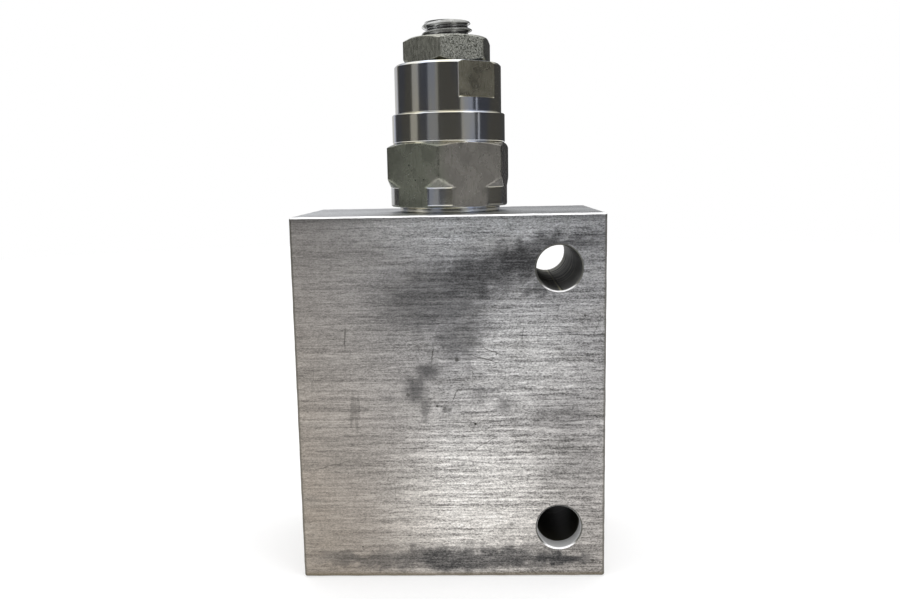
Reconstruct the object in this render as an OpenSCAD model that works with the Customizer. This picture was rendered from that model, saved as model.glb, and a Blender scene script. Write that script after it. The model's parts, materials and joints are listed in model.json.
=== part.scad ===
// Inline counterbalance valve: a screw-in cartridge standing in a drilled aluminium block.
// Origin at the centre of the block's bottom face, +Z up along the cartridge,
// +X to the valve port's side, -Y out of the face with the bolt heads.

/* [Block] */
// Width across the front face
block_w = 70; // [66:0.5:90]
// Thickness from front to back
block_d = 42; // [38:0.5:60]
// Height
block_h = 84; // [84:0.5:100]
// Broken edge along every corner
block_edge = 0.5; // [0.4:0.1:1.5]

/* [Mounting holes] */
// Diameter of the two through holes
mount_d = 10; // [8:0.5:11]
// Hole centre to the right face
mount_side = 10.5; // [8:0.5:11]
// Hole centre to the top face, and to the bottom face
mount_end = 12; // [9:0.5:13]

/* [Ports] */
// Thread diameter of the load and valve ports
port_d = 16.66; // [13.16:0.01:16.66]
// Full thread depth of the load and valve ports
port_depth = 13; // [10:0.5:14]
// Thread diameter of the pilot port
pilot_d = 13.16; // [9.73:0.01:13.16]
// Full thread depth of the pilot port
pilot_depth = 12; // [9:0.5:13]
// Drilling from a port to the cavity
drill_d = 9; // [6:0.5:9]
// Height of the load port's axis, on the left face
load_z = 22; // [21.5:0.5:23]
// Height of the valve port's axis, on the right face
valve_z = 49; // [48.5:0.5:49.5]
// Height of the pilot port's axis, on the left face
pilot_z = 65; // [64.5:0.5:66]

/* [Cartridge outside] */
// Land that closes on the block's top face
land_d = 24; // [23:0.1:25]
// Height of the land
land_h = 1.3; // [0.8:0.1:1.5]
// Hexagon across flats
hex_af = 27; // [26:0.5:28]
// Height of the hexagon
hex_h = 14.7; // [13:0.1:15]
// Diameter that the hexagon's foot is turned to
hex_foot_d = 28.3; // [27.2:0.1:28.5]
// Height of the turned foot
hex_foot_h = 4.5; // [3:0.1:6]
// Turn of the hexagon's corner from the front, towards the left
hex_turn = 7.5; // [0:0.5:60]
// Diameter of the round collar above the hexagon
collar_d = 26.8; // [26:0.1:26.9]
// Height of the collar
collar_h = 6.75; // [6:0.05:8]

/* [Spring cap] */
// Outside diameter of the cap
cap_d = 25.2; // [24.5:0.1:26]
// Height of the cap above the collar
cap_h = 11.35; // [11:0.05:13]
// Across the two wrench flats
cap_af = 23; // [22:0.5:24]
// Height of the wrench flats
cap_flat_h = 8.1; // [6:0.1:9]
// Turn of one flat from the front, towards the right
cap_flat_turn = 37; // [0:1:90]

/* [Lock nut] */
// Across flats
nut_af = 19; // [18:0.5:19]
// Height
nut_h = 6; // [5:0.5:6]
// Turn of a corner from the front, towards the left
nut_turn = 8; // [0:1:60]

/* [Adjusting screw] */
// Thread diameter
screw_d = 12; // [12:0.5:12]
// Thread pitch
screw_pitch = 1.75; // [1.75:0.05:1.75]
// Height of the screw's end above the lock nut
screw_out = 3.8; // [3.6:0.1:6]
// Across flats of the socket in its end
socket_af = 6; // [5:0.5:6]

/* [Springs] */
// Wire of the main spring
main_wire = 2.4; // [2:0.1:2.6]
// Turns of the main spring
main_turns = 5.5; // [4:0.5:6]
// Wire of the check spring
check_wire = 0.6; // [0.5:0.05:0.7]
// Turns of the check spring
check_turns = 3; // [2:0.5:3.5]

/* [Hidden] */

// Running clearance on radius, gap at a face that only rests, and overshoot of a cut.
run = 0.03;
rest_gap = 0.02;
past = 1;

// Levels up the cartridge, from the block's top face.
top_z = block_h;
hex_z = top_z + land_h;
collar_z = hex_z + hex_h;
cap_z = collar_z + collar_h;
nut_z = cap_z + cap_h;
screw_z = nut_z + nut_h + screw_out;

// Levels down the cavity, each measured from the top face.
mouth_z = top_z - 2.6;
thread_z = top_z - 14;
upper_land_z = top_z - 22.5;
nose_step_z = top_z - 40.5;
nose_z = top_z - 55.8;
cavity_z = top_z - 68;

// Diameters of the cavity, stepped down towards its bottom.
mouth_d = 22.6;
thread_d = 20;
pilot_bore_d = 18.4;
upper_land_d = 17.2;
nose_land_d = 15.8;

// Bores inside the cartridge.
spring_bore_d = 14;
guide_bore_d = 10;
stem_d = 7.5;
valve_bore_d = 11;
lip_d = 8.6;
nose_bore_d = 11;
cap_thread_d = 22;
cap_pilot_d = 19.2;

// Slope of a drill's point, in degrees from flat.
drill_point = 31;

// Levels inside the cartridge, from the bottom of its nose.
ring_z = nose_z + 1.3;
washer_z = nose_z + 2.4;
sleeve_z = nose_z + 7;
lip_z = nose_z + 14.8;
valve_bore_z = nose_z + 16.3;
stem_bore_top_z = nose_z + 33.8;
piston_land_z = nose_z + 40.2;
shoulder_z = nose_z + 48.8;
guide_z = nose_z + 49.2;
spring_foot_z = nose_z + 51.8;
cap_foot_z = nose_z + 65.3;
cap_step_z = nose_z + 70.8;
spring_head_z = nose_z + 71.8;
seat_top_z = nose_z + 75.8;
cap_roof_z = nose_z + 81.4;

// Seal grooves, each [floor's radius, low level, high level].
mouth_groove = [8.7, mouth_z, top_z];
upper_groove = [7.05, upper_land_z - 5.6, upper_land_z - 1.1];
nose_groove = [6.65, nose_z + 8.4, nose_z + 12.8];
stem_groove = [5.2, valve_bore_z + 13.1, valve_bore_z + 15.7];
piston_groove = [3.8, piston_land_z + 2.8, piston_land_z + 5.4];
seat_groove = [5.6, spring_head_z + 1.2, spring_head_z + 3.2];
cap_groove = [8.2, cap_foot_z + 1.6, cap_foot_z + 3.7];
ring_groove_r = 6.15;

// Backup rings of the fixed seals, and of the moving ones.
backup_h = 1;
small_backup_h = 0.75;

// Check sleeve: its bore, neck, head and the seat for the piston's cone.
sleeve_bore_r = 3.2;
sleeve_neck_r = 4.2;
sleeve_head_r = 4.85;
sleeve_rim_r = 4;

// Orifice screw in the pilot drilling, and the spigots inside the main spring.
orifice_d = 6;
orifice_h = 6;
orifice_start = pilot_depth + 2.3;
spigot_d = 7.6;
spigot_h = 4;

// Colours.
aluminium = [0.74, 0.73, 0.71];
olive_zinc = [0.52, 0.53, 0.49];
bright_zinc = [0.62, 0.62, 0.6];
steel = [0.58, 0.58, 0.56];
spring_grey = [0.4, 0.4, 0.4];
black_rubber = [0.06, 0.06, 0.06];
ivory = [0.85, 0.83, 0.76];

// A solid turned about Z from its [radius, height] outline.
module turned(outline) {
    rotate_extrude($fn = 96)
        polygon(outline);
}

// A plain ring of rectangular section.
module ring(inside, outside, low, high) {
    turned([[inside, low], [outside, low], [outside, high], [inside, high]]);
}

// A black O-ring between two radii, squeezed flat against both.
module o_ring(inside, outside, mid_z, section) {
    low_r = inside + rest_gap;
    high_r = outside - rest_gap;
    color(black_rubber)
        rotate_extrude($fn = 96)
            intersection() {
                translate([(low_r + high_r) / 2, mid_z])
                    circle(d = section, $fn = 32);
                translate([low_r, mid_z - section])
                    square([high_r - low_r, 2 * section]);
            }
}

// A flat plastic ring that backs up an O-ring.
module backup_ring(inside, outside, low, height) {
    color(ivory)
        ring(inside + rest_gap, outside - rest_gap, low, low + height);
}

// Radial holes through a wall, evenly spaced, each from one radius out to another.
module radial_holes(count, d, z, from_r, to_r, turn) {
    for (i = [0 : count - 1])
        rotate([0, 0, turn + i * 360 / count])
            translate([from_r, 0, z])
                rotate([0, 90, 0])
                    cylinder(h = to_r - from_r, d = d, $fn = 32);
}

// A hexagonal bar with a corner turned to the left of the front.
module hex_bar(across, low, high, turn) {
    translate([0, 0, low])
        rotate([0, 0, -90 - turn])
            cylinder(h = high - low, r = across / 2 / cos(30), $fn = 6);
}

// A box with a chamfer along each edge: three chamfered outlines, each run through it.
module chamfered_box(size, c) {
    intersection() {
        translate([0, 0, size.z / 2])
            linear_extrude(size.z + past, center = true)
                chamfered_outline(size.x, size.y, c);
        translate([0, 0, size.z / 2])
            rotate([90, 0, 0])
                linear_extrude(size.y + past, center = true)
                    chamfered_outline(size.x, size.z, c);
        translate([0, 0, size.z / 2])
            rotate([90, 0, 90])
                linear_extrude(size.x + past, center = true)
                    chamfered_outline(size.y, size.z, c);
    }
}

// A rectangle about the origin with its corners cut.
module chamfered_outline(w, h, c) {
    polygon([[-w / 2 + c, -h / 2], [w / 2 - c, -h / 2], [w / 2, -h / 2 + c], [w / 2, h / 2 - c],
             [w / 2 - c, h / 2], [-w / 2 + c, h / 2], [-w / 2, h / 2 - c], [-w / 2, -h / 2 + c]]);
}

// A threaded port, cut down -Z from a face at the origin: seal face, mouth chamfer,
// thread, drill point and the drilling to the cavity.
module port_cut(thread, depth, seal_d, drill, reach) {
    seal_depth = 0.4;
    chamfer = 0.9;
    point = (thread - drill) / 2 * tan(drill_point);
    turned([[0, past], [seal_d / 2, past], [seal_d / 2, -seal_depth],
            [thread / 2 + chamfer, -seal_depth], [thread / 2, -seal_depth - chamfer],
            [thread / 2, -depth], [drill / 2, -depth - point], [drill / 2, -reach], [0, -reach]]);
}

// A mounting hole through the block, with a small chamfer at each mouth.
module mount_cut(z) {
    c = 0.4;
    r = mount_d / 2;
    half = block_d / 2;
    translate([block_w / 2 - mount_side, 0, z])
        rotate([90, 0, 0])
            turned([[0, -half - past], [r + c + past, -half - past], [r, -half + c],
                    [r, half - c], [r + c + past, half + past], [0, half + past]]);
}

// The stepped cavity that the cartridge screws into.
module cavity_cut() {
    turned([[0, top_z + past], [mouth_d / 2, top_z + past], [mouth_d / 2, top_z - 0.2],
            [thread_d / 2, mouth_z], [thread_d / 2, thread_z],
            [pilot_bore_d / 2, thread_z - 0.5], [pilot_bore_d / 2, upper_land_z + 0.5],
            [upper_land_d / 2, upper_land_z], [upper_land_d / 2, nose_step_z + 0.5],
            [nose_land_d / 2, nose_step_z], [nose_land_d / 2, cavity_z],
            [0, cavity_z - nose_land_d / 2 * tan(drill_point)]]);
}

module valve_block() {
    color(aluminium)
        difference() {
            chamfered_box([block_w, block_d, block_h], block_edge);
            mount_cut(mount_end);
            mount_cut(block_h - mount_end);
            cavity_cut();
            translate([-block_w / 2, 0, load_z])
                rotate([0, -90, 0])
                    port_cut(port_d, port_depth, 26, drill_d, block_w / 2);
            translate([block_w / 2, 0, valve_z])
                rotate([0, 90, 0])
                    port_cut(port_d, port_depth, 26, drill_d, block_w / 2);
            translate([-block_w / 2, 0, pilot_z])
                rotate([0, -90, 0])
                    port_cut(pilot_d, pilot_depth, 20, orifice_d, orifice_start + orifice_h);
            translate([-block_w / 2, 0, pilot_z])
                rotate([0, 90, 0])
                    cylinder(h = block_w / 2, d = 3.5, $fn = 32);
        }
}

// A set screw with a fine bore, which damps the pilot line.
module pilot_orifice() {
    r = orifice_d / 2 - run;
    bore_r = 0.4;
    edge = 0.4;
    key_af = 3;
    key_h = 2.5;
    start = orifice_start + 0.5;
    end = start + orifice_h - 0.6;
    color(steel)
        translate([-block_w / 2, 0, pilot_z])
            rotate([0, 90, 0])
                difference() {
                    turned([[bore_r, start], [r - edge, start], [r, start + edge],
                            [r, end - edge], [r - edge, end], [bore_r, end]]);
                    hex_bar(key_af, start - past, start + key_h, 0);
                }
}

// The outside of the cartridge body, turned from the nose up to the collar.
module body_outside() {
    thread_r = thread_d / 2 - run;
    upper_r = upper_land_d / 2 - run;
    nose_r = nose_land_d / 2 - run;
    pilot_r = 8.2;
    turned([[0, nose_z], [nose_r - 0.6, nose_z], [nose_r, nose_z + 0.6],
            [nose_r, nose_groove[1]], [nose_groove[0], nose_groove[1]],
            [nose_groove[0], nose_groove[2]], [nose_r, nose_groove[2]],
            [nose_r, nose_step_z - 0.4], [nose_r - 0.2, nose_step_z + 0.6],
            [nose_r - 0.2, upper_land_z - 6.6], [upper_r, upper_land_z - 6.2],
            [upper_r, upper_groove[1]], [upper_groove[0], upper_groove[1]],
            [upper_groove[0], upper_groove[2]], [upper_r, upper_groove[2]],
            [upper_r, upper_land_z - 0.4], [pilot_r, upper_land_z],
            [pilot_r, thread_z - 0.6], [thread_r - 0.9, thread_z - 0.6], [thread_r, thread_z + 0.3],
            [thread_r, mouth_groove[1]], [mouth_groove[0], mouth_groove[1]],
            [mouth_groove[0], top_z + rest_gap],
            [land_d / 2 - 0.2, top_z + rest_gap], [land_d / 2, top_z + 0.2 + rest_gap],
            [land_d / 2, collar_z - 0.5], [collar_d / 2, collar_z - 0.5],
            [collar_d / 2, cap_z - 0.3], [collar_d / 2 - 0.3, cap_z - rest_gap],
            [0, cap_z - rest_gap]]);
}

// The hexagon: its foot turned round, a cone up to its corners and a chamfered top.
module body_hexagon() {
    foot_r = hex_foot_d / 2;
    far_r = hex_af / 2 / cos(30) + past;
    cone_h = (far_r - foot_r) * tan(55);
    crown_r = hex_af / 2 - 0.2;
    crown_drop = (far_r - crown_r) * tan(23);
    edge = 0.35;
    intersection() {
        hex_bar(hex_af, hex_z, collar_z, hex_turn);
        turned([[0, hex_z], [foot_r - edge, hex_z], [foot_r, hex_z + edge],
                [foot_r, hex_z + hex_foot_h], [far_r, hex_z + hex_foot_h + cone_h],
                [far_r, collar_z - crown_drop], [crown_r, collar_z], [0, collar_z]]);
    }
}

// Everything bored out of the cartridge body, from the nose up.
module body_bores() {
    stem_r = stem_d / 2 + run;
    turned([[0, nose_z - past], [nose_bore_d / 2 + 0.4 + past, nose_z - past],
            [nose_bore_d / 2, nose_z + 0.4],
            [nose_bore_d / 2, ring_z - 0.1], [ring_groove_r, ring_z - 0.1], [ring_groove_r, washer_z],
            [nose_bore_d / 2, washer_z], [nose_bore_d / 2, lip_z], [lip_d / 2, lip_z],
            [lip_d / 2, valve_bore_z - 0.6], [valve_bore_d / 2, valve_bore_z],
            [valve_bore_d / 2, valve_bore_z + 11], [stem_r, valve_bore_z + 12],
            [stem_r, stem_groove[1]], [stem_groove[0], stem_groove[1]],
            [stem_groove[0], stem_groove[2]], [stem_r, stem_groove[2]],
            [stem_r, stem_bore_top_z], [guide_bore_d / 2, stem_bore_top_z],
            [guide_bore_d / 2, shoulder_z - 0.5], [guide_bore_d / 2 + 0.5, shoulder_z],
            [spring_bore_d / 2, shoulder_z], [spring_bore_d / 2, cap_foot_z - 0.3],
            [cap_pilot_d / 2, cap_foot_z - 0.3], [cap_pilot_d / 2, cap_step_z - 0.6],
            [cap_thread_d / 2, cap_step_z + 0.6], [cap_thread_d / 2, cap_z + past],
            [0, cap_z + past]]);
}

module cartridge_body() {
    color(olive_zinc)
        difference() {
            union() {
                body_outside();
                body_hexagon();
            }
            body_bores();
            radial_holes(6, 4.5, valve_z, 4.6, 9, 30);
            radial_holes(4, 2.5, pilot_z, 3.5, 9, 45);
        }
}

module body_o_ring() {
    o_ring(mouth_groove[0], 10.52, top_z - 1.05, 2);
}

module upper_o_ring() {
    o_ring(upper_groove[0], upper_land_d / 2, (upper_groove[1] + upper_groove[2]) / 2, 1.8);
}

module upper_backup_rings() {
    for (low = [upper_groove[1] + 0.1, upper_groove[2] - 0.1 - backup_h])
        backup_ring(upper_groove[0], upper_land_d / 2, low, backup_h);
}

module nose_o_ring() {
    o_ring(nose_groove[0], nose_land_d / 2, (nose_groove[1] + nose_groove[2]) / 2, 1.6);
}

module nose_backup_rings() {
    for (low = [nose_groove[1] + 0.1, nose_groove[2] - 0.1 - backup_h])
        backup_ring(nose_groove[0], nose_land_d / 2, low, backup_h);
}

module stem_o_ring() {
    o_ring(stem_d / 2, stem_groove[0], stem_groove[1] + 0.9, 1.5);
}

module stem_backup_ring() {
    backup_ring(stem_d / 2, stem_groove[0], stem_groove[2] - 0.1 - small_backup_h, small_backup_h);
}

// Check sleeve: a head that closes on the lip, a neck with cross holes and a guide below.
module check_sleeve() {
    seat_z = lip_z - rest_gap;
    guide_r = nose_bore_d / 2 - run;
    rim_z = seat_z + lip_d / 2 - sleeve_rim_r;
    color(steel)
        difference() {
            turned([[sleeve_bore_r, sleeve_z], [guide_r - 0.3, sleeve_z], [guide_r, sleeve_z + 0.3],
                    [guide_r, sleeve_z + 1.8], [sleeve_neck_r, sleeve_z + 2.2],
                    [sleeve_neck_r, seat_z - 2], [sleeve_head_r, seat_z - 1.5],
                    [sleeve_head_r, seat_z + lip_d / 2 - sleeve_head_r],
                    [sleeve_rim_r, rim_z], [sleeve_bore_r, rim_z]]);
            radial_holes(4, 2.6, sleeve_z + 3.8, 2.6, 6, 45);
        }
}

// Points round the wire at one place on a coil.
function wire_ring(coil_r, wire_r, turn_deg, z, sides) =
    [for (k = [0 : sides - 1])
        let (a = 360 * k / sides, r = coil_r + wire_r * cos(a))
        [r * cos(turn_deg), r * sin(turn_deg), z + wire_r * sin(a)]];

// Height along a coil spring: a dead turn at each end and an even rise between them.
function coil_z(turn, turns, wire, length) =
    let (dead = 0.9, live = turns - 2 * dead, rise = length - wire - 2 * dead * wire * 1.02)
    wire / 2 + min(turn, dead) * wire * 1.02
    + max(0, min(turn - dead, live)) / live * rise
    + max(0, turn - dead - live) * wire * 1.02;

// A coil spring that stands on Z = 0.
module coil_spring(coil_r, wire, turns, length, sides, steps) {
    count = floor(turns * steps);
    points = [for (i = [0 : count])
        each wire_ring(coil_r, wire / 2, 360 * i / steps,
                       coil_z(i / steps, turns, wire, length), sides)];
    walls = [for (i = [0 : count - 1], k = [0 : sides - 1])
        [i * sides + k, i * sides + (k + 1) % sides,
         (i + 1) * sides + (k + 1) % sides, (i + 1) * sides + k]];
    start = [for (k = [sides - 1 : -1 : 0]) k];
    end = [for (k = [0 : sides - 1]) count * sides + k];
    polyhedron(points, concat(walls, [start], [end]));
}

module check_spring() {
    color(spring_grey)
        translate([0, 0, washer_z + 1 + rest_gap])
            coil_spring(4.6, check_wire, check_turns,
                        sleeve_z - washer_z - 1 - 2 * rest_gap, 6, 16);
}

module check_spring_washer() {
    color(steel)
        ring(sleeve_bore_r, nose_bore_d / 2 - run, washer_z + rest_gap, washer_z + 1);
}

// A sprung ring in a groove, split so that it can be squeezed in.
module retaining_ring() {
    gap = 3;
    color(spring_grey)
        difference() {
            ring(4.7, ring_groove_r - 0.05, ring_z, washer_z - rest_gap);
            translate([0, -gap / 2, ring_z - past])
                cube([ring_groove_r + past, gap, 2 * past + 2]);
        }
}

// Piston: relief cone at its foot, stem through the seal and a land in the guide bore.
module piston() {
    cone_z = lip_z + lip_d / 2 - sleeve_rim_r;
    tip_r = 1.6;
    stem_r = stem_d / 2;
    land_r = guide_bore_d / 2 - run;
    color(steel)
        turned([[0, cone_z + tip_r - sleeve_bore_r], [tip_r, cone_z + tip_r - sleeve_bore_r],
                [stem_r, cone_z + stem_r - sleeve_bore_r], [stem_r, piston_land_z - 0.6],
                [land_r - 0.6, piston_land_z - 0.6], [land_r, piston_land_z],
                [land_r, piston_groove[1]], [piston_groove[0], piston_groove[1]],
                [piston_groove[0], piston_groove[2]], [land_r, piston_groove[2]],
                [land_r, guide_z - 0.7], [land_r - 0.7, guide_z], [0, guide_z]]);
}

module piston_o_ring() {
    o_ring(piston_groove[0], guide_bore_d / 2, piston_groove[1] + 0.85, 1.5);
}

module piston_backup_ring() {
    backup_ring(piston_groove[0], guide_bore_d / 2,
                piston_groove[2] - 0.1 - small_backup_h, small_backup_h);
}

// A flanged button whose spigot stands up inside the main spring's lower end.
module lower_spring_guide() {
    flange_r = spring_bore_d / 2 - 0.15;
    color(steel)
        turned([[0, guide_z], [flange_r, guide_z], [flange_r, spring_foot_z],
                [spigot_d / 2, spring_foot_z], [spigot_d / 2, spring_foot_z + spigot_h - 0.8],
                [spigot_d / 2 - 0.8, spring_foot_z + spigot_h], [0, spring_foot_z + spigot_h]]);
}

module main_spring() {
    color(spring_grey)
        translate([0, 0, spring_foot_z + rest_gap])
            coil_spring(5.3, main_wire, main_turns,
                        spring_head_z - spring_foot_z - 2 * rest_gap, 8, 20);
}

// Upper seat: spigot in the spring, a sealed land in the cap's bore and a dimple on top.
module upper_spring_seat() {
    land_r = spring_bore_d / 2 - run;
    spigot_z = spring_head_z - spigot_h;
    color(steel)
        turned([[0, spigot_z], [spigot_d / 2 - 0.8, spigot_z],
                [spigot_d / 2, spigot_z + 0.8], [spigot_d / 2, spring_head_z],
                [land_r, spring_head_z], [land_r, seat_groove[1]],
                [seat_groove[0], seat_groove[1]], [seat_groove[0], seat_groove[2]],
                [land_r, seat_groove[2]], [land_r, seat_top_z - 0.3],
                [land_r - 0.3, seat_top_z], [2, seat_top_z], [0, seat_top_z - 1.2]]);
}

module seat_o_ring() {
    o_ring(seat_groove[0], spring_bore_d / 2, (seat_groove[1] + seat_groove[2]) / 2, 1.7);
}

// Spring cap: a screwed-in foot, a round head with a bevelled top and two wrench flats.
module spring_cap() {
    cap_r = cap_d / 2;
    foot_r = cap_thread_d / 2 - run;
    pilot_r = cap_pilot_d / 2 - run;
    screw_bore_r = screw_d / 2;
    flat_z = nut_z - cap_flat_h;
    color(bright_zinc)
        difference() {
            turned([[spring_bore_d / 2, cap_foot_z], [pilot_r - 0.5, cap_foot_z],
                    [pilot_r, cap_foot_z + 0.5], [pilot_r, cap_groove[1]],
                    [cap_groove[0], cap_groove[1]], [cap_groove[0], cap_groove[2]],
                    [pilot_r, cap_groove[2]], [pilot_r, cap_step_z - 0.2],
                    [foot_r - 0.6, cap_step_z + 0.8], [foot_r, cap_step_z + 1.4],
                    [foot_r, cap_z], [cap_r - 0.15, cap_z], [cap_r, cap_z + 0.15],
                    [cap_r, nut_z - 0.45], [cap_r - 0.45, nut_z],
                    [screw_bore_r + 0.5, nut_z], [screw_bore_r, nut_z - 0.5],
                    [screw_bore_r, cap_roof_z + 0.5], [screw_bore_r + 0.5, cap_roof_z],
                    [spring_bore_d / 2, cap_roof_z]]);
            rotate([0, 0, cap_flat_turn])
                for (side = [-1, 1])
                    translate([-cap_r, side * (cap_af + cap_d) / 2 - cap_d / 2, flat_z])
                        cube([cap_d, cap_d, cap_h]);
        }
}

module cap_o_ring() {
    o_ring(cap_groove[0], cap_pilot_d / 2, (cap_groove[1] + cap_groove[2]) / 2, 1.7);
}

// Adjusting screw: full thread diameter, a chamfered end and a hexagon socket.
module adjusting_screw() {
    r = screw_d / 2 - 0.05;
    end_chamfer = 0.65;
    point_r = 4;
    point_h = 2;
    socket_h = 6;
    color(bright_zinc)
        difference() {
            turned([[0, seat_top_z + rest_gap], [point_r, seat_top_z + rest_gap],
                    [point_r, seat_top_z + point_h - 1], [r, seat_top_z + point_h + 1],
                    [r, screw_z - 1.1], [r - end_chamfer, screw_z], [0, screw_z]]);
            hex_bar(socket_af, screw_z - socket_h, screw_z + past, 0);
        }
}

// Lock nut: a hexagon with both its faces chamfered.
module lock_nut() {
    far_r = nut_af / 2 / cos(30) + past;
    crown_r = nut_af / 2 - 0.4;
    drop = (far_r - crown_r) * tan(28);
    bore_r = screw_d / 2;
    low = nut_z + rest_gap;
    high = nut_z + nut_h;
    color(olive_zinc)
        difference() {
            intersection() {
                hex_bar(nut_af, low, high, nut_turn);
                turned([[0, low], [crown_r, low], [far_r, low + drop],
                        [far_r, high - drop], [crown_r, high], [0, high]]);
            }
            turned([[0, low - past], [bore_r + 0.5 + past, low - past], [bore_r, low + 0.5],
                    [bore_r, high - 0.5], [bore_r + 0.5 + past, high + past], [0, high + past]]);
        }
}

valve_block();
pilot_orifice();
cartridge_body();
body_o_ring();
upper_o_ring();
upper_backup_rings();
nose_o_ring();
nose_backup_rings();
stem_o_ring();
stem_backup_ring();
check_sleeve();
check_spring();
check_spring_washer();
retaining_ring();
piston();
piston_o_ring();
piston_backup_ring();
lower_spring_guide();
main_spring();
upper_spring_seat();
seat_o_ring();
spring_cap();
cap_o_ring();
adjusting_screw();
lock_nut();
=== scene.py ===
"""Looks of the hydraulic cartridge valve.

The block, cartridge, cap, nut and screw are fine meshes that replace their CAD nodes. The other nodes are
kept and get a material.
"""

import json
import math

import bmesh
import bpy
import numpy as np
from mathutils import Matrix, Vector

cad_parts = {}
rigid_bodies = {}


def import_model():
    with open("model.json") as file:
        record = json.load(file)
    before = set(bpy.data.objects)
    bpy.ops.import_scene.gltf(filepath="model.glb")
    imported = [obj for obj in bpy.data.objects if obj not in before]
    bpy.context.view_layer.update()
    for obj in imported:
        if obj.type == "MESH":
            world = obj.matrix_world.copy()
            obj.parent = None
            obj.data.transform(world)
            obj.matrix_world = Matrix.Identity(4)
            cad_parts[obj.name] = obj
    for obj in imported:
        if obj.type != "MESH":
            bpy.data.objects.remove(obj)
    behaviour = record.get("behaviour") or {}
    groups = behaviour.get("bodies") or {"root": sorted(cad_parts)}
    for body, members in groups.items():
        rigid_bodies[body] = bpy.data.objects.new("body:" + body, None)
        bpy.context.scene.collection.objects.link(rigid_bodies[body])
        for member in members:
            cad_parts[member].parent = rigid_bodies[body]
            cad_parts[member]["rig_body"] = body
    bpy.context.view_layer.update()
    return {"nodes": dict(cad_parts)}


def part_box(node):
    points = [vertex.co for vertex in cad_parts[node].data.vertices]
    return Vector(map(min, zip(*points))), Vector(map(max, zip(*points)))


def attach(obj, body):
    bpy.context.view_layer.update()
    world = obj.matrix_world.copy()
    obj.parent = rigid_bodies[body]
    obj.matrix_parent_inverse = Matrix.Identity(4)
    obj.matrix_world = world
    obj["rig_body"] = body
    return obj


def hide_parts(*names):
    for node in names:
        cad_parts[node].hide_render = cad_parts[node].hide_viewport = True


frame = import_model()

MM = 0.001


def box_mm(node):
    """Lowest and highest corner of a CAD node, in millimetres."""
    low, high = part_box(node)
    return np.array(low) / MM, np.array(high) / MM


# ---------------------------------------------------------------- sizes, in millimetres

BLOCK_LOW, BLOCK_HIGH = box_mm("valve_block")
TOP_Z = BLOCK_HIGH[2]
NOSE_Z = box_mm("cartridge_body")[0][2]
CAP_FOOT_Z = box_mm("spring_cap")[0][2]
COLLAR_TOP_Z = box_mm("cartridge_body")[1][2]
CAP_TOP_Z = box_mm("spring_cap")[1][2]
NUT_LOW_Z = box_mm("lock_nut")[0][2]
NUT_HIGH_Z = box_mm("lock_nut")[1][2]
SCREW_LOW_Z = box_mm("adjusting_screw")[0][2]
SCREW_HIGH_Z = box_mm("adjusting_screw")[1][2]

MOUNT_R = 5.0
MOUNT_X = BLOCK_HIGH[0] - 10.5
MOUNT_ZS = (BLOCK_LOW[2] + 12.0, TOP_Z - 12.0)

LAND_R = 12.0
LAND_H = 1.3
HEX_AF = 27.0
HEX_Z = TOP_Z + LAND_H
HEX_TOP_Z = HEX_Z + 14.7
HEX_TURN = 7.5
FOOT_R = 14.15
FOOT_H = 4.5
COLLAR_R = 13.4
CAP_R = 12.6
CAP_AF = 23.0
CAP_FLAT_Z = CAP_TOP_Z - 8.1
CAP_FLAT_TURN = 37.0
CAP_BEVEL = 0.5
NUT_AF = 19.0
NUT_TURN = 8.0
SCREW_R = 5.95
SCREW_BORE_R = 6.0
SCREW_PITCH = 1.75
SCREW_CREST_Z = SCREW_HIGH_Z - 1.85
SOCKET_AF = 6.0

LOAD_Z, VALVE_Z, PILOT_Z = 22.0, 49.0, 65.0
PORT_PITCH = 1.337
PILOT_DRILLING_R = 1.75

# Side face (-1 left, 1 right), height, thread radius and depth, seal radius, drilling's radius and reach.
PORTS = (
    (-1, LOAD_Z, 8.33, 13.0, 13.0, 4.5, BLOCK_HIGH[0]),
    (1, VALVE_Z, 8.33, 13.0, 13.0, 4.5, BLOCK_HIGH[0]),
    (-1, PILOT_Z, 6.58, 12.0, 10.0, 3.0, 20.3),
)

# Cross holes of the cartridge: how many, radius, height, turn in degrees.
CROSS_HOLES = ((6, 2.25, VALVE_Z, 30), (4, 1.25, PILOT_Z, 45))

# The angle round Z that faces the camera, in degrees.
FRONT = -90.0


# ---------------------------------------------------------------- mesh tools


def smooth_min(a, b, k):
    """The smaller of a and b, blended over a width of about k."""
    h = np.clip(k - np.abs(a - b), 0, None) / k
    return np.minimum(a, b) - h * h * k / 4


def rounded(outline, radius, steps=5, closed=True):
    """The [r, z] outline with an arc of about that radius at each corner off the axis."""
    points = [np.array(p, float) for p in outline]
    count = len(points)
    made = []
    for i, p in enumerate(points):
        if not closed and i in (0, count - 1):
            made.append(p)
            continue
        before, after = points[i - 1], points[(i + 1) % count]
        a, b = before - p, after - p
        reach = min(radius, 0.45 * np.linalg.norm(a), 0.45 * np.linalg.norm(b))
        a, b = a / np.linalg.norm(a), b / np.linalg.norm(b)
        if p[0] < 1e-6 or abs(np.cross(a, b)) < 0.05:
            made.append(p)
            continue
        start, end = p + a * reach, p + b * reach
        for t in np.linspace(0, 1, steps + 1):
            made.append((1 - t) ** 2 * start + 2 * t * (1 - t) * p + t * t * end)
    return np.array(made)


def divided(outline, longest, closed=True, above=-1e3):
    """The outline with points added so that no stretch above that height is longer than longest."""
    made = []
    count = len(outline)
    for i in range(count if closed else count - 1):
        a, b = outline[i], outline[(i + 1) % count]
        parts = max(1, math.ceil(np.linalg.norm(b - a) / longest)) if min(a[1], b[1]) > above else 1
        made += [a + (b - a) * k / parts for k in range(parts)]
    if not closed:
        made.append(outline[-1])
    return np.array(made)


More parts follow.
